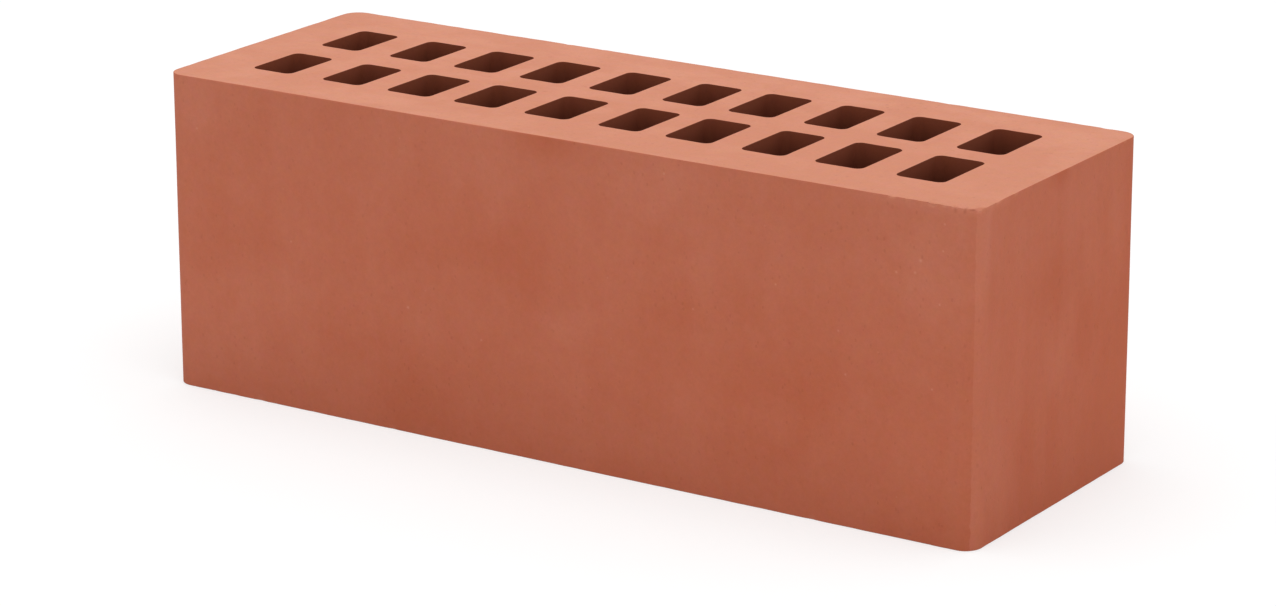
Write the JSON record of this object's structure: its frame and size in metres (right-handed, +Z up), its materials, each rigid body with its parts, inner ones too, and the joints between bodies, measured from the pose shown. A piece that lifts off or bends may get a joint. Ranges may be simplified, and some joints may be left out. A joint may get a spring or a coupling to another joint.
{
  "type": "facing brick",
  "caption": "Slim perforated facing brick of red fired clay, with smooth faces, rounded upright corners and rows of oblong cores through its beds, laid in mortar as an outer leaf.",
  "frame": {"origin": "middle of the brick's lower bed, at the height of the surface that it stands on", "axes": "+X along the stretcher face, with +Y from the stretcher face to the back, and +Z up, along the cores"},
  "size_m": [0.25, 0.085, 0.088],
  "materials": {
    "fired_clay": "matt fired clay: smooth die-skinned sides, and paler wire-cut beds"
  },
  "bodies": {
    "root": {"facing_brick": "fired_clay"}
  },
  "joints": []
}
